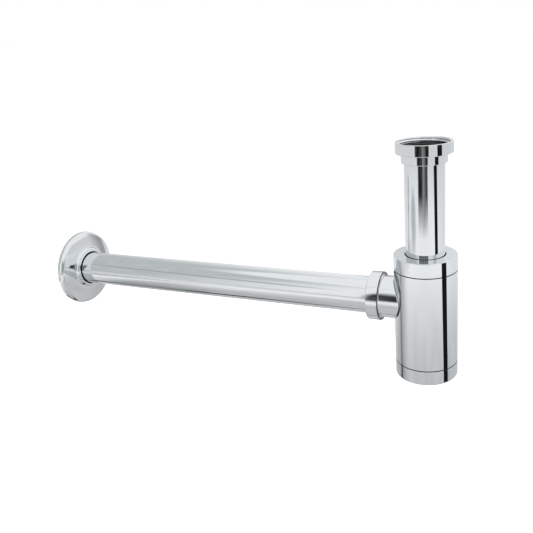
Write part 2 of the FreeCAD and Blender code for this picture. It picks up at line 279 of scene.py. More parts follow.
def metal(name, colour, roughness, lines, smear=0.03, bare_radius=0.0, round_pipe=0.0):
    """Polished metal: the colour is dimmed a little along the polish lines, which also change its
    roughness and give a slight bump. The plate leaves the brass bare inside a radius, and seams and
    gaps get painted shade from a number on each vertex."""
    material = bpy.data.materials.new(name)
    material.use_nodes = True
    tree = material.node_tree
    shader = tree.nodes["Principled BSDF"]
    marks = tree.nodes.new("ShaderNodeGroup")
    marks.node_tree = polish
    for label, value in zip(("Line X", "Line Y", "Line Z"), lines):
        marks.inputs[label].default_value = value
    marks.inputs["Plain Roughness"].default_value = roughness
    marks.inputs["Smear"].default_value = smear
    bare = tree.nodes.new("ShaderNodeGroup")
    bare.node_tree = inside
    bare.inputs["Radius"].default_value = bare_radius * MM
    bare.inputs["Round Pipe"].default_value = round_pipe
    bare.inputs["Pipe Height"].default_value = PIPE_AXIS * MM
    plate = tree.nodes.new("ShaderNodeMix")
    plate.data_type = "RGBA"
    plated, unplated = [socket for socket in plate.inputs if socket.type == "RGBA"]
    plated.default_value = (*colour, 1.0)
    unplated.default_value = (*BRASS, 1.0)
    tree.links.new(bare.outputs["Mask"], plate.inputs[0])
    toned = tree.nodes.new("ShaderNodeVectorMath")
    toned.operation = "MULTIPLY"
    covered = [socket for socket in plate.outputs if socket.type == "RGBA"][0]
    tree.links.new(covered, toned.inputs[0])
    # Painted shade: the colour is darkened by the number that a piece stores on each vertex.
    shade_paint = tree.nodes.new("ShaderNodeAttribute")
    shade_paint.attribute_name = "painted_shade"
    shaded = math_node(tree, "MULTIPLY_ADD", shade_paint.outputs["Fac"], -PAINTED_SHADE_DARK, 1.0)
    tree.links.new(math_node(tree, "MULTIPLY", marks.outputs["Tone"], shaded), toned.inputs[1])
    tree.links.new(toned.outputs[0], shader.inputs["Base Color"])
    plain = marks.outputs["Roughness"]
    rough = math_node(tree, "MULTIPLY_ADD", bare.outputs["Mask"], BARE_ROUGHER, plain)
    tree.links.new(rough, shader.inputs["Roughness"])
    shader.inputs["Metallic"].default_value = 1.0
    bump = tree.nodes.new("ShaderNodeBump")
    bump.inputs["Strength"].default_value = POLISH_BUMP
    bump.inputs["Distance"].default_value = POLISH_BUMP_HEIGHT
    tree.links.new(marks.outputs["Height"], bump.inputs["Height"])
    tree.links.new(bump.outputs["Normal"], shader.inputs["Normal"])
    return material


chrome_turned = metal("chrome_turned", CHROME, 0.02, ROUND_THE_TUBE)

EDGE_ROUND = 0.5
INNER_ROUND = 0.3
FINE_ROUND = 0.1
SLIP = 0.05              # clearance of what slides or turns
TUBE_R = 16.0
TUBE_BORE = 15.0
NUT_RING_H = 9.0
NUT_RING_R = span("inlet_nut", 0)[1]
NUT_NECK_BORE = TUBE_R + 0.2
NUT_NECK_R = NUT_NECK_BORE + 1.95
NUT_STEP_ROUND = 0.15
PIPE_THREAD_R = 20.955
PIPE_THREAD_DEPTH = 1.479
PIPE_THREAD_PITCH = 2.309
MOUTH_CHAMFER_R = PIPE_THREAD_R + 0.545
MOUTH_CHAMFER_H = 0.4
RUN_OUT_R = PIPE_THREAD_R + 0.445
COLLAR_T = 1.1
nut_bottom, nut_mouth = span("inlet_nut")
nut_floor = span("inlet_tube")[1] - COLLAR_T - SLIP
run_out = span("inlet_washer")[1] + SLIP
nut_rows = section([
    (NUT_NECK_BORE, nut_bottom, INNER_ROUND),
    (NUT_NECK_R, nut_bottom, EDGE_ROUND),
    (NUT_NECK_R, nut_mouth - NUT_RING_H, NUT_STEP_ROUND),
    (NUT_RING_R, nut_mouth - NUT_RING_H, EDGE_ROUND),
    (NUT_RING_R, nut_mouth, INNER_ROUND),
    (MOUTH_CHAMFER_R, nut_mouth, FINE_ROUND),
    (PIPE_THREAD_R, nut_mouth - MOUTH_CHAMFER_H, FINE_ROUND, THREAD),
    (PIPE_THREAD_R, run_out, 0),
    (RUN_OUT_R, run_out, 0),
    (RUN_OUT_R, nut_floor, INNER_ROUND),
    (NUT_NECK_BORE, nut_floor, 0),
], PIPE_THREAD_PITCH)
nut_grid = turned(nut_rows, -PIPE_THREAD_DEPTH, PIPE_THREAD_PITCH)
made("coupling_nut", lathe(nut_grid), "inlet_nut", "inlet_nut", chrome_turned)

# Collar washer: a flat black rubber ring cut from sheet. It lies on the tube's collar inside
# the nut, and the basin's waste presses on it.
MOTTLE_SCALE = 90.0
GRAIN_ROUGHNESS = 0.15
GRAIN_BUMP = 0.4
GRAIN_BUMP_HEIGHT = 0.00003
WASHER_BORE = TUBE_BORE + 0.2


def moulded(name, colour, roughness, grain, mottling):
    """Rubber or plastic: a broad noise mottles the colour, and a fine one roughens the
    surface and gives it a bump."""
    material = bpy.data.materials.new(name)
    material.use_nodes = True
    tree = material.node_tree
    shader = tree.nodes["Principled BSDF"]
    where = tree.nodes.new("ShaderNodeTexCoord").outputs["Object"]
    fine = noise_node(tree, where, grain, detail=3.0)
    broad = noise_node(tree, where, MOTTLE_SCALE, detail=2.0)
    shade = math_node(tree, "MULTIPLY_ADD", broad, mottling, 1 - 0.5 * mottling)
    shaded = tree.nodes.new("ShaderNodeVectorMath")
    shaded.operation = "MULTIPLY"
    shaded.inputs[0].default_value = colour
    tree.links.new(shade, shaded.inputs[1])
    tree.links.new(shaded.outputs[0], shader.inputs["Base Color"])
    rough = math_node(tree, "MULTIPLY_ADD", fine, GRAIN_ROUGHNESS, roughness)
    tree.links.new(rough, shader.inputs["Roughness"])
    bump = tree.nodes.new("ShaderNodeBump")
    bump.inputs["Strength"].default_value = GRAIN_BUMP
    bump.inputs["Distance"].default_value = GRAIN_BUMP_HEIGHT
    tree.links.new(fine, bump.inputs["Height"])
    tree.links.new(bump.outputs["Normal"], shader.inputs["Normal"])
    return material


def flat_ring(bore, outer, low, high, edge):
    """Section of a flat ring with rounded edges."""
    return section([(bore, low, edge), (outer, low, edge), (outer, high, edge), (bore, high, edge)])


rubber = moulded("black_rubber", (0.03, 0.03, 0.032), roughness=0.55, grain=2600.0, mottling=0.5)
washer_r = span("inlet_washer", 0)[1]
washer_rows = flat_ring(WASHER_BORE, washer_r, *span("inlet_washer"), INNER_ROUND)
made("collar_washer", lathe(turned(washer_rows)), "inlet_washer", "inlet_washer", rubber)

# Dip tube: thin drawn brass tube, plated outside and bare inside. Its upper end is rolled
# outwards into the collar that hangs in the coupling nut.
CUT_CHAMFER = 0.3
BARE_TUBE_R = TUBE_BORE + 0.2
chrome_tube = metal("chrome_tube", CHROME, 0.02, ROUND_THE_TUBE, bare_radius=BARE_TUBE_R)
tube_end, collar_top = span("inlet_tube")
collar_r = span("inlet_tube", 0)[1]
tube_rows = section([
    (TUBE_BORE, tube_end, 0),
    (TUBE_R - CUT_CHAMFER, tube_end, 0),
    (TUBE_R, tube_end + CUT_CHAMFER, 0),
    (TUBE_R, collar_top - COLLAR_T, INNER_ROUND),
    (collar_r, collar_top - COLLAR_T, INNER_ROUND),
    (collar_r, collar_top, INNER_ROUND),
    (TUBE_BORE, collar_top, COLLAR_T + INNER_ROUND),
])
made("dip_tube", lathe(turned(tube_rows)), "inlet_tube", "inlet_tube", chrome_tube)

# Tube seal and its slip washer: a conical black rubber ring that grips the dip tube in the
# bottle's mouth, and the white nylon washer that lets the cap turn on it.
CAP_HOLE_R = TUBE_R + 0.5
SLIP_RING_ROUND = 0.2
SEAL_BAND = 1.1
SEAL_CONE_H = 4.0
SEAL_NOSE_T = 1.0
SEAL_ROUND = 0.2
nylon = moulded("white_nylon", (0.86, 0.86, 0.83), roughness=0.35, grain=1400.0, mottling=0.06)
slip_r = span("tube_slip_washer", 0)[1]
slip_rows = flat_ring(CAP_HOLE_R, slip_r, *span("tube_slip_washer"), SLIP_RING_ROUND)
made("tube_slip_ring", lathe(turned(slip_rows)), "tube_slip_washer", "tube_slip_washer", nylon)
seal_nose, seal_top = span("tube_seal")
seal_r = span("tube_seal", 0)[1]
seal_rows = section([
    (TUBE_R + SLIP, seal_nose, 0),
    (TUBE_R + SEAL_NOSE_T, seal_nose, SEAL_ROUND),
    (seal_r, seal_top - SEAL_BAND, SEAL_ROUND),
    (seal_r, seal_top, INNER_ROUND),
    (TUBE_R + SLIP, seal_top, 0),
])
made("tube_cone_seal", lathe(turned(seal_rows)), "tube_seal", "tube_seal", rubber)

# Cap: a turned and plated brass cap with a flat top. It screws over the bottle's upper neck,
# and the dip tube passes through its hole with a fine gap round it.
SCREW_DEPTH = 0.81
SCREW_PITCH = 1.5
SCREW_GAP = 0.10
HALF_TURN = 0.5          # the female ridges lie half a pitch from the male ones
BOTTLE_R = span("cap", 0)[1]
BOTTLE_BORE = BOTTLE_R - 1.5
NECK_ROOT_R = BOTTLE_BORE - 2.2
SOCKET_ROOT_R = NECK_ROOT_R + SCREW_DEPTH + SCREW_GAP
CAP_ROOF_T = 3.0
THREAD_RELIEF = 2.2      # plain stretch between the cap's roof and its thread
cap_rim, cap_top = span("cap")
cap_rows = section([
    (SOCKET_ROOT_R, cap_rim, 0),
    (BOTTLE_R, cap_rim, INNER_ROUND),
    (BOTTLE_R, cap_top, EDGE_ROUND),
    (CAP_HOLE_R, cap_top, INNER_ROUND),
    (CAP_HOLE_R, cap_top - CAP_ROOF_T, 0),
    (SOCKET_ROOT_R, cap_top - CAP_ROOF_T, INNER_ROUND),
    (SOCKET_ROOT_R, cap_top - CAP_ROOF_T - THREAD_RELIEF, 0, THREAD),
], SCREW_PITCH)
cap_shape = lathe(turned(cap_rows, -SCREW_DEPTH, SCREW_PITCH, HALF_TURN))
cap_points = cap_shape[0]
# Painted shade in the seam at the cap's rim and in the gap round the tube.
cap_painted_shade = painted_shade_at(cap_points, cap_rim)
cap_painted_shade |= np.hypot(cap_points[:, 0], cap_points[:, 1]) < CAP_HOLE_R + PAINTED_SHADE_REACH
made("screwed_cap", cap_shape, "cap", "cap", chrome_turned, cap_painted_shade)

# Threaded rings: turned from brass bar and brazed into the bottle's ends. The upper one ends
# in the tube seal's conical seat, and the lower one carries the cup.
RING_R = BOTTLE_BORE - SLIP
RING_BORE = TUBE_R + 0.6
BASE_BORE_R = NECK_ROOT_R - 2.3
SEAT_SLOPE = (seal_r - TUBE_R - SEAL_NOSE_T) / SEAL_CONE_H
SEAT_LIP = 0.2           # how far the upper neck rises past the top of the seal's cone
brass = metal("turned_brass", BRASS, 0.18, ROUND_THE_TUBE, smear=0.06)
bottle_end, bottle_top = span("bottle")
ring_low, ring_high = span("bottle_top_ring")
seat_top_r = seal_r + 2 * SLIP + SEAT_SLOPE * SEAT_LIP
seat_bottom = seal_nose - 4 * SLIP
seat_bottom_r = seat_top_r - SEAT_SLOPE * (ring_high - seat_bottom)
upper_rows = section([
    (RING_BORE, ring_low, INNER_ROUND),
    (RING_R, ring_low, INNER_ROUND),
    (RING_R, bottle_top, 0),
    (NECK_ROOT_R, bottle_top, 0, THREAD),
    (NECK_ROOT_R, ring_high, INNER_ROUND),
    (seat_top_r, ring_high, FINE_ROUND),
    (seat_bottom_r, seat_bottom, 0),
    (RING_BORE, seat_bottom, 0),
], SCREW_PITCH)
upper_shape = lathe(turned(upper_rows, SCREW_DEPTH, SCREW_PITCH))
made("upper_neck", upper_shape, "bottle", "bottle_top_ring", brass)
neck_end, ring_inside = span("bottle_base_ring")
lower_rows = section([
    (BASE_BORE_R, neck_end, INNER_ROUND),
    (NECK_ROOT_R, neck_end, INNER_ROUND, THREAD),
    (NECK_ROOT_R, bottle_end, 0),
    (RING_R, bottle_end, 0),
    (RING_R, ring_inside, INNER_ROUND),
    (BASE_BORE_R, ring_inside, INNER_ROUND),
], SCREW_PITCH)
lower_shape = lathe(turned(lower_rows, SCREW_DEPTH, SCREW_PITCH))
made("lower_neck", lower_shape, "bottle", "bottle_base_ring", brass)

# Bottle: a drawn brass tube, plated outside and bare inside, with a round hole in its side
# that the branch is brazed into.
BRANCH_R = 18.0
HOLE_R = BRANCH_R + SLIP
PANEL_HALF = 21.0        # half the height of the wall's panel round the hole
PANEL_STEPS = 52         # of the steps round the wall, those that the panel takes
HOLE_RINGS = 8           # between the hole's edge and the panel's border
HOLE_EDGE = 0.03         # where the first of them lies, as a share of the way
BARE_BOTTLE_R = BOTTLE_BORE + 0.3


def pierced(rows):
    """Vertices and faces of a turned wall with a round hole towards -X. A panel of its outer
    and inner face is left out, and filled with rings that pass evenly, in angle and height,
    from the hole's circle, seen along X, to the panel's border. A strip joins both circles."""
    grid = turned(rows)
    ids = np.arange(grid.size // 3).reshape(grid.shape[:2])
    left = TURN_STEPS // 2 - PANEL_STEPS // 2
    right = TURN_STEPS // 2 + PANEL_STEPS // 2
    even = np.flatnonzero(rows[:, 2] == PANEL)
    keep = np.ones(ids.shape, bool)
    vertices, faces, circles = [grid.reshape(-1, 3)], [], []
    total = ids.size
    for outer, first in ((True, even[0] - 1), (False, even[PANEL_ROWS - 1] - 1)):
        keep[first:first + PANEL_ROWS, left:right] = False
        block = ids[first:first + PANEL_ROWS + 1, left:right + 1]
        block = block if outer else block[::-1]
        border = np.concatenate([block[0, :-1], block[:-1, -1], block[-1, :0:-1], block[:0:-1, 0]])
        wall_r = rows[first, 0]
        x, y, z = grid.reshape(-1, 3)[border].T
        turn, rise = np.arctan2(y, -x), z - PIPE_AXIS
        about = np.arctan2(rise, turn * BOTTLE_R)
        hole_turn = np.arcsin(HOLE_R * np.cos(about) / wall_r)
        hole_rise = HOLE_R * np.sin(about)
        share = np.append(0, np.linspace(HOLE_EDGE, 1, HOLE_RINGS, endpoint=False))[:, None]
        turn = hole_turn + share * (turn - hole_turn)
        rise = hole_rise + share * (rise - hole_rise)
        rings = np.stack([-wall_r * np.cos(turn), wall_r * np.sin(turn), PIPE_AXIS + rise], axis=2)
        vertices.append(rings.reshape(-1, 3))
        added = total + np.arange(turn.size).reshape(turn.shape)
        total += turn.size
        filled = np.concatenate([added, border[None]])
        faces.append(quads(filled[::-1] if outer else filled))
        circles.append(added[0])
    faces.append(quads(np.stack(circles)))
    faces.append(quads(np.concatenate([ids, ids[:1]]))[keep.reshape(-1)])
    return np.concatenate(vertices), np.concatenate(faces).tolist()


chrome_bottle = metal("chrome_bottle", CHROME, 0.02, ROUND_THE_TUBE, bare_radius=BARE_BOTTLE_R)
bottle_rows = section([
    (BOTTLE_BORE, bottle_end, 0),
    (BOTTLE_R, bottle_end, INNER_ROUND),
    (BOTTLE_R, PIPE_AXIS - PANEL_HALF, 0, PANEL),
    (BOTTLE_R, PIPE_AXIS + PANEL_HALF, 0),
    (BOTTLE_R, bottle_top, INNER_ROUND),
    (BOTTLE_BORE, bottle_top, 0),
    (BOTTLE_BORE, PIPE_AXIS + PANEL_HALF, 0, PANEL),
    (BOTTLE_BORE, PIPE_AXIS - PANEL_HALF, 0),
])
bottle_shape = pierced(bottle_rows)
# Painted shade in the seams at the bottle's top and end.
bottle_painted_shade = painted_shade_at(bottle_shape[0], bottle_top, bottle_end)
made("bottle_wall", bottle_shape, "bottle", "bottle", chrome_bottle, bottle_painted_shade)

# Branch: a turned and plated stub brazed into the bottle's side, with a stop for the pipe,
# a thread for the outlet nut and a conical mouth for the seal.
BRAZE_FILLET = 0.7
BRAZE_DEPTH = 0.02       # how far the fillet's foot lies in the wall
FILLET_ROWS = 6
# painted shade in the braze's fillet: how dark its foot and first half are made
FILLET_PAINTED_SHADE = 0.9
BRANCH_STOP_R = TUBE_BORE + 0.3
BRANCH_STOP_REACH = 27.5
BRANCH_BORE = 16.25
BRANCH_MOUTH_R = BRANCH_R - 0.4
BRANCH_MOUTH_DEPTH = 2.7
BRANCH_THREAD_FROM = 35.5
BARE_BRANCH_R = BRANCH_BORE + 0.2
branch_reach = -span("outlet_branch", 0)[0]


def along_pipe(points):
    """Lay turned points on the pipe's axis: their height becomes -X, and their x becomes Z."""
    return np.stack([-points[..., 2], points[..., 1], PIPE_AXIS + points[..., 0]], axis=-1)


def branch_grid():
    """The branch's rows turned about its own axis, and how much painted shade each of their points
    takes. The rows of its end in the bottle follow the bore, and those of the braze's hollow
    fillet, a quarter circle, follow the outer wall: each lies the root of the wall's radius squared
    less its own y squared further out. Shade is painted on the fillet's foot and its first half."""
    sweep = np.linspace(0, np.pi / 2, FILLET_ROWS)
    bore_end = [(BRANCH_STOP_R, 0, 0), (BRANCH_R, 0, 0)]
    foot = [(BRANCH_R, -BRAZE_DEPTH, 0), (BRANCH_R + BRAZE_FILLET, -BRAZE_DEPTH, 0)]
    fillet = np.stack([BRANCH_R + BRAZE_FILLET * (1 - np.sin(sweep)),
                       BRAZE_FILLET * (1 - np.cos(sweep)), 0 * sweep], axis=1)
    past_fillet = [(BRANCH_R, BRAZE_FILLET + EDGE_SUPPORT, 0)]
    straight = section([
        (BRANCH_R, BRANCH_THREAD_FROM, 0, THREAD),
        (BRANCH_R, branch_reach, 0),
        (BRANCH_MOUTH_R, branch_reach, 0),
        (BRANCH_BORE, branch_reach - BRANCH_MOUTH_DEPTH, 0),
        (BRANCH_BORE, BRANCH_STOP_REACH, 0),
        (BRANCH_STOP_R, BRANCH_STOP_REACH, 0),
    ], SCREW_PITCH, closed=False)
    rows = np.concatenate([bore_end, foot, fillet, past_fillet, straight])
    grid = turned(rows, SCREW_DEPTH, SCREW_PITCH)
    on_bore = slice(0, len(bore_end))
    on_wall = slice(len(bore_end), len(rows) - len(straight))
    for part, wall_r in ((on_bore, BOTTLE_BORE), (on_wall, BOTTLE_R)):
        grid[part, :, 2] += np.sqrt(wall_r ** 2 - grid[part, :, 1] ** 2)
    dark = np.zeros(grid.shape[:2])
    dark[len(bore_end):len(bore_end) + len(foot) + FILLET_ROWS // 2] = FILLET_PAINTED_SHADE
    return grid, dark.ravel()


chrome_branch = metal("chrome_branch", CHROME, 0.03, ROUND_THE_PIPE,
                      bare_radius=BARE_BRANCH_R, round_pipe=1.0)
branch_turned, branch_painted_shade = branch_grid()
branch_shape = lathe(along_pipe(branch_turned))
made("branch_stub", branch_shape, "bottle", "outlet_branch", chrome_branch, branch_painted_shade)

# Cup: the cleaning cup, turned from brass and plated, which screws on the bottle's lower
# neck. A black rubber gasket lies on its thick floor.
CUP_FLOOR_T = 3.3
CUP_ROUND = 1.2
CUP_RELIEF = 2.4         # plain stretch between the cup's floor and its thread
GASKET_BORE = BASE_BORE_R + 0.4
AXIS_R = 0.5             # where a floor's rows stop short of the axis, round their fan
cup_under, cup_rim = span("cup")
cup_floor = cup_under + CUP_FLOOR_T
cup_rows = section([
    (AXIS_R, cup_under, 0),
    (BOTTLE_R, cup_under, CUP_ROUND),
    (BOTTLE_R, cup_rim, INNER_ROUND),
    (SOCKET_ROOT_R, cup_rim, 0, THREAD),
    (SOCKET_ROOT_R, cup_floor + CUP_RELIEF, 0),
    (SOCKET_ROOT_R, cup_floor, INNER_ROUND),
    (AXIS_R, cup_floor, 0),
], SCREW_PITCH, closed=False)
cup_shape = lathe(turned(cup_rows, -SCREW_DEPTH, SCREW_PITCH, HALF_TURN), closed=False)
# Painted shade in the seam at the cup's rim.
made("cleaning_cup", cup_shape, "cup", "cup", chrome_turned, painted_shade_at(cup_shape[0], cup_rim))
gasket_r = span("cup_gasket", 0)[1]
gasket_rows = flat_ring(GASKET_BORE, gasket_r, *span("cup_gasket"), INNER_ROUND)
made("cup_seal", lathe(turned(gasket_rows)), "cup_gasket", "cup_gasket", rubber)

# Outlet nut, its slip washer and the pipe seal: a plated brass nut that draws a white nylon
# washer against the black rubber cone in the branch's mouth.
OUTLET_HOLE_R = TUBE_R + 0.3
OUTLET_THREAD_R = BRANCH_R + SCREW_DEPTH + SCREW_GAP
OUTLET_RELIEF = 1.2      # plain stretch between the slip washer and the thread
CONE_NOSE_R = TUBE_R + SLIP + 0.35
SHOULDER_GAP = 0.15      # from the branch's end to the seal's shoulder
nut_end, nut_start = (-place for place in span("outlet_nut", 0))
outlet_nut_r = span("outlet_nut", 1)[1]
washer_end, washer_start = (-place for place in span("pipe_slip_washer", 0))
outlet_rows = section([
    (OUTLET_THREAD_R, nut_start, FINE_ROUND),
    (outlet_nut_r, nut_start, INNER_ROUND),
    (outlet_nut_r, nut_end, EDGE_ROUND),
    (OUTLET_HOLE_R, nut_end, INNER_ROUND),
    (OUTLET_HOLE_R, washer_end + SLIP, 0),
    (OUTLET_THREAD_R, washer_end + SLIP, 0),
    (OUTLET_THREAD_R, washer_start - OUTLET_RELIEF, 0, THREAD),
], SCREW_PITCH)
chrome_nut = metal("chrome_nut", CHROME, 0.02, ROUND_THE_PIPE)
outlet_turned = turned(outlet_rows, -SCREW_DEPTH, SCREW_PITCH, HALF_TURN)
# Painted shade on the nut's end face, by the branch.
outlet_face_shade = outlet_turned[..., 2] < nut_start + PAINTED_SHADE_REACH
outlet_shape = lathe(along_pipe(outlet_turned))
made("outlet_ring_nut", outlet_shape, "outlet_nut", "outlet_nut", chrome_nut, outlet_face_shade.ravel())
outlet_slip_r = span("pipe_slip_washer", 1)[1]
outlet_slip_rows = flat_ring(OUTLET_HOLE_R, outlet_slip_r, washer_start, washer_end,
                             SLIP_RING_ROUND)
outlet_slip_shape = lathe(along_pipe(turned(outlet_slip_rows)))
made("pipe_slip_ring", outlet_slip_shape, "pipe_slip_washer", "pipe_slip_washer", nylon)
seal_end, seal_start = (-place for place in span("pipe_seal", 0))
cone_slope = (BRANCH_MOUTH_R - BRANCH_BORE) / BRANCH_MOUTH_DEPTH
shoulder = branch_reach + SHOULDER_GAP
cone_rows = section([
    (TUBE_R + SLIP, seal_start, 0),
    (CONE_NOSE_R, seal_start, 0),
    (CONE_NOSE_R + cone_slope * (shoulder - seal_start), shoulder, 0),
    (BRANCH_R, shoulder, 0),
    (BRANCH_R, seal_end, INNER_ROUND),
    (TUBE_R + SLIP, seal_end, 0),
])
made("pipe_cone_seal", lathe(along_pipe(turned(cone_rows))), "pipe_seal", "pipe_seal", rubber)

# Outlet pipe: thin drawn brass tube, plated and polished lengthwise, from the branch's stop
# through the flange into the wall.
chrome_pipe = metal("chrome_pipe", CHROME, 0.03, ALONG_THE_PIPE,
                    bare_radius=BARE_TUBE_R, round_pipe=1.0)
pipe_end, pipe_start = (-place for place in span("outlet_pipe", 0))
pipe_rows = section([
    (TUBE_BORE, pipe_start, 0),
    (TUBE_R - CUT_CHAMFER, pipe_start, 0),
    (TUBE_R, pipe_start + CUT_CHAMFER, 0),
    (TUBE_R, pipe_end - CUT_CHAMFER, 0),
    (TUBE_R - CUT_CHAMFER, pipe_end, 0),
    (TUBE_BORE, pipe_end, 0),
])
made("wall_pipe", lathe(along_pipe(turned(pipe_rows))), "outlet_pipe", "outlet_pipe", chrome_pipe)

# Wall flange: a plated dish pressed from brass sheet, with a neck spun up round the pipe.
# A black rubber ring in the neck's groove holds it where it is slid to.
FLANGE_SHEET = 1.2
FLANGE_CROWN_R = 23.0
FLANGE_CROWN_H = 7.4
FLANGE_RIM_H = 5.2
FLANGE_SHOULDER = 3.6
FLANGE_BULGE_R = 30.4    # the face is drawn out by a quarter of a millimetre here
FLANGE_BULGE_H = 6.6
FLANGE_BULGE_ROUND = 85.0
FLANGE_CROWN_ROUND = 22.0
FLANGE_BORE = TUBE_R + 1.1
FLANGE_NECK_R = FLANGE_BORE + 1.9
FLANGE_NECK_FILLET = 2.6
FLANGE_LIP_ROUND = 0.7
RING_SECTION_R = 1.05
RING_HEIGHT = 6.3
RING_ROWS = 32
GROOVE_GAP = 0.12
GROOVE_HALF = RING_SECTION_R + GROOVE_GAP
GROOVE_R = TUBE_R + SLIP + 2 * RING_SECTION_R + GROOVE_GAP
SLEEVE_H = 3.0
flange_r = span("wall_flange", 1)[1]
wall, flange_face = (-place for place in span("wall_flange", 0))
flange_h = wall - flange_face
inner_crown = FLANGE_CROWN_H - FLANGE_SHEET
flange_corners = [
    (flange_r, 0, INNER_ROUND),
    (flange_r, FLANGE_RIM_H, FLANGE_SHOULDER),
    (FLANGE_BULGE_R, FLANGE_BULGE_H, FLANGE_BULGE_ROUND),
    (FLANGE_CROWN_R, FLANGE_CROWN_H, FLANGE_CROWN_ROUND),
    (FLANGE_NECK_R, FLANGE_CROWN_H, FLANGE_NECK_FILLET),
    (FLANGE_NECK_R, flange_h, FLANGE_LIP_ROUND),
    (FLANGE_BORE, flange_h, INNER_ROUND),
    (FLANGE_BORE, RING_HEIGHT + GROOVE_HALF, 0),
    (GROOVE_R, RING_HEIGHT + GROOVE_HALF, 0),
    (GROOVE_R, RING_HEIGHT - GROOVE_HALF, 0),
    (FLANGE_BORE, RING_HEIGHT - GROOVE_HALF, 0),
    (FLANGE_BORE, SLEEVE_H, INNER_ROUND),
    (FLANGE_NECK_R - INNER_ROUND, SLEEVE_H, INNER_ROUND),
    (FLANGE_NECK_R - INNER_ROUND, inner_crown, INNER_ROUND),
    (FLANGE_CROWN_R, inner_crown, 0),
    (flange_r - FLANGE_SHEET, FLANGE_RIM_H - FLANGE_SHEET, FLANGE_SHOULDER - FLANGE_SHEET),
    (flange_r - FLANGE_SHEET, 0, INNER_ROUND),
]
chrome_flange = metal("chrome_flange", CHROME, 0.03, ROUND_THE_PIPE, smear=0.05)
from_the_wall = [(radius, wall - height, edge) for radius, height, edge in reversed(flange_corners)]
flange_shape = lathe(along_pipe(turned(section(from_the_wall))))
made("flange_dish", flange_shape, "wall_flange", "wall_flange", chrome_flange)
sweep = np.linspace(0, 2 * np.pi, RING_ROWS, endpoint=False)
ring_rows = np.column_stack([TUBE_R + SLIP + RING_SECTION_R * (1 + np.cos(sweep)),
                             wall - RING_HEIGHT + RING_SECTION_R * np.sin(sweep), 0 * sweep])
made("flange_grip_ring", lathe(along_pipe(turned(ring_rows))), "flange_ring", "flange_ring", rubber)

# Studio: a pale floor well below the hanging trap, a white surround, two soft lamps and
# the dark screens that polished metal mirrors. Its sizes are in metres.
SKY_LIGHT = 0.6          # the surround's strength as light; seen or mirrored it is 1
FLOOR_Z = -0.46
FLOOR_R = 30.0           # so wide that its edge mirrors as a level line
FLOOR_SIDES = 128
FLOOR_TONE = 0.87
FLOOR_SPECK = 0.02
FLOOR_GLOW_SEEN = 0.55
FLOOR_GLOW_MIRRORED = 0.22
CAMERA_PLACE = (0.10773, -0.48034, 0.08162)
CAMERA_BEARING = math.atan2(CAMERA_PLACE[0], -CAMERA_PLACE[1])


def seen_or_mirrored(tree):
    """1 for rays from the camera and for those that metal or glass sends on, else 0."""
    rays = tree.nodes.new("ShaderNodeLightPath")
    seen = math_node(tree, "MAXIMUM", rays.outputs["Is Camera Ray"], rays.outputs["Is Glossy Ray"])
    return math_node(tree, "MAXIMUM", seen, rays.outputs["Is Transmission Ray"])


world = bpy.data.worlds.new("studio")
scene.world = world
world.use_nodes = True
sky = world.node_tree.nodes["Background"]
sky.inputs["Color"].default_value = (1, 1, 1, 1)
tree = world.node_tree
strength = math_node(tree, "MULTIPLY_ADD", seen_or_mirrored(tree), 1 - SKY_LIGHT, SKY_LIGHT)
tree.links.new(strength, sky.inputs["Strength"])

floor_paint = bpy.data.materials.new("floor_paint")
floor_paint.use_nodes = True
tree = floor_paint.node_tree
paint = tree.nodes["Principled BSDF"]
paint.inputs["Roughness"].default_value = 0.9
paint.inputs["Specular IOR Level"].default_value = 0.0
place = tree.nodes.new("ShaderNodeTexCoord").outputs["Object"]
speck = noise_node(tree, place, scale=6.0, detail=3.0)
tone = math_node(tree, "MULTIPLY_ADD", speck, FLOOR_SPECK, FLOOR_TONE)
tree.links.new(tone, paint.inputs["Base Color"])
paint.inputs["Emission Color"].default_value = (1, 1, 1, 1)
glow = math_node(tree, "MULTIPLY", seen_or_mirrored(tree), FLOOR_GLOW_MIRRORED)
straight = tree.nodes.new("ShaderNodeLightPath").outputs["Is Camera Ray"]
glow = math_node(tree, "MULTIPLY_ADD", straight, FLOOR_GLOW_SEEN - FLOOR_GLOW_MIRRORED, glow)
tree.links.new(glow, paint.inputs["Emission Strength"])
floor_mesh = bpy.data.meshes.new("floor")
floor_turn = np.linspace(0, 2 * np.pi, FLOOR_SIDES, endpoint=False)
floor_rim = np.stack([FLOOR_R * np.cos(floor_turn), FLOOR_R * np.sin(floor_turn),
                      np.full(FLOOR_SIDES, FLOOR_Z)], axis=1)
floor_mesh.from_pydata(floor_rim.tolist(), [], [list(range(FLOOR_SIDES))])
floor_mesh.materials.append(floor_paint)
floor = bpy.data.objects.new("floor", floor_mesh)
scene.collection.objects.link(floor)


UPRIGHT_GRAIN = 18.0
FLOOR_GRAIN = 5.0
SCREEN_TINT = (0.97, 1.0, 0.98, 1)


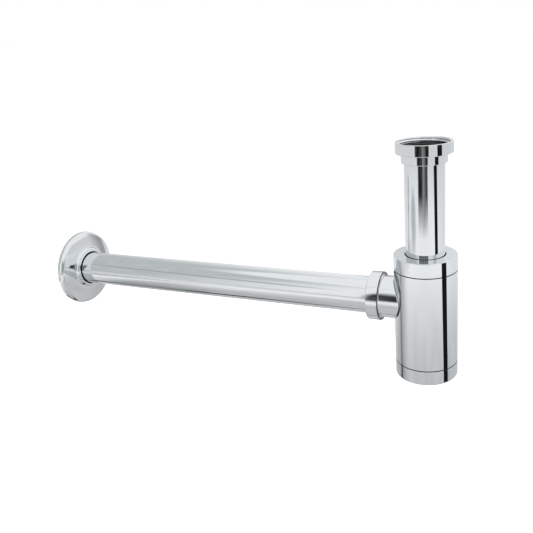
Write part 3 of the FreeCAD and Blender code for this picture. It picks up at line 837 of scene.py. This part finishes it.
def screen(name, points, cover, shade, mottling, grain=UPRIGHT_GRAIN):
    """A stage screen that polished metal alone mirrors, from a grid of points. Each point's
    cover says how much of what lies behind is hidden, and a noise mottles the shade."""
    rows, steps = points.shape[:2]
    ids = np.arange(rows * steps).reshape(rows, steps)
    faces = np.stack([ids[:-1, :-1], ids[:-1, 1:], ids[1:, 1:], ids[1:, :-1]], axis=-1)
    mesh = bpy.data.meshes.new(name)
    mesh.from_pydata(points.reshape(-1, 3).tolist(), [], faces.reshape(-1, 4).tolist())
    stored = mesh.attributes.new("cover", "FLOAT", "POINT")
    stored.data.foreach_set("value", cover.astype(np.float32).ravel())
    cloth = bpy.data.materials.new(name)
    cloth.use_nodes = True
    tree = cloth.node_tree
    tree.nodes.remove(tree.nodes["Principled BSDF"])
    amount = tree.nodes.new("ShaderNodeAttribute")
    amount.attribute_name = "cover"
    place = tree.nodes.new("ShaderNodeTexCoord").outputs["Object"]
    mottle = noise_node(tree, place, grain, detail=5.0, distortion=0.4)
    dark = tree.nodes.new("ShaderNodeEmission")
    dark.inputs["Color"].default_value = SCREEN_TINT
    uneven = math_node(tree, "SUBTRACT", mottle, 0.5)
    tone = math_node(tree, "MULTIPLY_ADD", uneven, mottling, shade)
    tree.links.new(math_node(tree, "MAXIMUM", tone, 0.0), dark.inputs["Strength"])
    clear = tree.nodes.new("ShaderNodeBsdfTransparent")
    mixed = tree.nodes.new("ShaderNodeMixShader")
    tree.links.new(amount.outputs["Fac"], mixed.inputs[0])
    tree.links.new(clear.outputs[0], mixed.inputs[1])
    tree.links.new(dark.outputs[0], mixed.inputs[2])
    tree.links.new(mixed.outputs[0], tree.nodes["Material Output"].inputs["Surface"])
    mesh.materials.append(cloth)
    held = bpy.data.objects.new(name, mesh)
    scene.collection.objects.link(held)
    held.visible_camera = False
    held.visible_diffuse = False
    held.visible_transmission = False
    held.visible_shadow = False


SCREEN_COLUMNS = 49
SCREEN_ROWS = 33
SHARP = 0.001


def ramp(values, low, high):
    """0 at low or before, 1 at high or past it, and a straight ramp between."""
    return np.clip((values - low) / (high - low), 0, 1)


def upright_screen(name, low, high, distance, shade, blur, mottling=0.0, hidden=1.0):
    """A leaning strip of a cylinder round the dip tube. Its low and high edge are given as
    (left bearing, right bearing, height), in degrees to the right of the camera and metres.
    Its cover rises from each edge over blur, shares for the left, right, bottom and top."""
    across = np.linspace(0, 1, SCREEN_COLUMNS)[None]
    upward = np.linspace(0, 1, SCREEN_ROWS)[:, None]
    left = low[0] + (high[0] - low[0]) * upward
    right = low[1] + (high[1] - low[1]) * upward
    bearing = CAMERA_BEARING + np.radians(left + (right - left) * across)
    height = low[2] + (high[2] - low[2]) * upward + 0 * across
    points = np.stack([distance * np.sin(bearing), -distance * np.cos(bearing), height], axis=2)
    sides = ramp(across, 0, blur[0]) * ramp(1 - across, 0, blur[1])
    cover = sides * ramp(upward, 0, blur[2]) * ramp(1 - upward, 0, blur[3])
    screen(name, points, hidden * cover, shade, mottling)


# The narrow right screen gives the black band down the right of each upright piece, and the
# front one, with a paler gap before it, the tube's broad dark band. The others give greys.
upright_screen("right_screen", (65, 84, -0.45), (42, 64, 0.10), 0.40, shade=0.010,
               blur=(0.04, 0.04, SHARP, 0.3))
upright_screen("front_screen", (-36.8, 18, -0.20), (-36.8, 18, 0.19), 0.40, shade=0.03,
               blur=(0.035, 0.05, 0.16, 0.45), mottling=0.30)
upright_screen("front_gap", (-14, 6, -0.20), (-14, 6, 0.06), 0.39, shade=0.35,
               blur=(0.3, 0.3, 0.14, 0.5), mottling=0.6, hidden=0.6)
upright_screen("left_screen", (-132, -70, -0.455), (-127, -66, -0.20), 0.40, shade=0.30,
               blur=(0.45, 0.45, SHARP, 0.2), mottling=0.1, hidden=0.7)
upright_screen("left_wall", (-165, -38, -0.22), (-165, -38, 2.6), 1.60, shade=0.62,
               blur=(0.22, 0.16, 0.01, 0.2), mottling=0.6)
upright_screen("horizon_line", (-78, -36, 0.40), (-78, -36, 0.62), 1.25, shade=0.45,
               blur=(0.2, 0.2, 0.4, 0.4), mottling=0.2)
upright_screen("back_shade", (164, 194, -0.42), (164, 194, 0.15), 0.42, shade=0.2,
               blur=(0.6, 0.2, 0.3, 0.4), mottling=0.3, hidden=0.7)

# Sheets just above the floor, seen only in the metal, paint shade on it: the floor close round the
# bottle mirrors darker the nearer it lies, and a painted shadow runs along a narrow strip right
# under the pipe. One more darker patch lies out to the left.
SHADE_R = 0.95
SHADE_LIFT = 0.004       # the patches' height above the floor
STRIP_LIFT = 0.06        # the strip's
STRIP_MIDDLE = -0.01     # the y of its middle line
STRIP_HALF = 0.04
far, around = np.meshgrid(np.linspace(0, SHADE_R, 40), np.linspace(0, 2 * np.pi, 97), indexing="ij")
nearness = 1 - far / SHADE_R
disc = np.stack([far * np.cos(around), far * np.sin(around),
                 FLOOR_Z + SHADE_LIFT + 0 * far], axis=2)
screen("floor_shade", disc, np.minimum(nearness, 0.5),
       shade=0.25, mottling=0.7, grain=FLOOR_GRAIN)
out_left = disc * [0.5, 0.5, 1] + [-1.13, -0.76, SHADE_LIFT]
screen("floor_left", out_left, np.minimum(nearness, 0.6),
       shade=0.3, mottling=0.7, grain=FLOOR_GRAIN)
along, beside = np.meshgrid(
    np.linspace(-0.9, 0.1, 21),
    np.linspace(STRIP_MIDDLE - STRIP_HALF, STRIP_MIDDLE + STRIP_HALF, 13), indexing="ij")
strip = np.stack([along, beside, FLOOR_Z + STRIP_LIFT + 0 * along], axis=2)
under = ramp(STRIP_HALF - np.abs(beside - STRIP_MIDDLE), 0, 0.02) * ramp(-along, 0.05, 0.30)
screen("pipe_shade", strip, under, shade=0.08, mottling=0.1)


LAMPS_AIM = np.array([-0.12, 0, PIPE_AXIS * MM])


def lamp(name, place, size, power):
    """A square soft lamp that faces the trap. Polished metal doesn't mirror it."""
    light = bpy.data.lights.new(name, "AREA")
    light.size = size
    light.energy = power
    hung = bpy.data.objects.new(name, light)
    scene.collection.objects.link(hung)
    towards = LAMPS_AIM - np.array(place)
    tilt = math.atan2(math.hypot(towards[0], towards[1]), -towards[2])
    hung.location = place
    hung.rotation_euler = (tilt, 0, math.atan2(-towards[0], towards[1]))
    hung.visible_glossy = False


lamp("key_lamp", (-0.9, -0.9, 1.1), size=1.0, power=9.0)
lamp("fill_lamp", (1.2, -0.6, 0.8), size=1.2, power=6.0)

# Camera: where the photograph was taken from. The photograph is a crop, whose middle lies to
# the left of and below the lens axis, so a small shift goes with it.
CAMERA_YAW = math.radians(24.806)
CAMERA_PITCH = math.radians(-17.435)
CAMERA_ROLL = math.radians(-4.324)
FRAME_PIXELS = 533
FOCAL_PIXELS = 626.7
SHIFT_PIXELS = 30
eye = bpy.data.cameras.new("photo_camera")
eye.sensor_width = 36.0
eye.lens = FOCAL_PIXELS / FRAME_PIXELS * eye.sensor_width
eye.shift_x = -SHIFT_PIXELS / FRAME_PIXELS
eye.shift_y = -SHIFT_PIXELS / FRAME_PIXELS
camera = bpy.data.objects.new("photo_camera", eye)
scene.collection.objects.link(camera)
forward = np.array([-math.sin(CAMERA_YAW) * math.cos(CAMERA_PITCH),
                    math.cos(CAMERA_YAW) * math.cos(CAMERA_PITCH), math.sin(CAMERA_PITCH)])
level = np.array([math.cos(CAMERA_YAW), math.sin(CAMERA_YAW), 0.0])
upright = np.cross(level, forward)
right = math.cos(CAMERA_ROLL) * level + math.sin(CAMERA_ROLL) * upright
up = -math.sin(CAMERA_ROLL) * level + math.cos(CAMERA_ROLL) * upright
pose = np.eye(4)
pose[:3] = np.column_stack([right, up, -forward, CAMERA_PLACE])
camera.matrix_world = pose.T.tolist()
scene.camera = camera
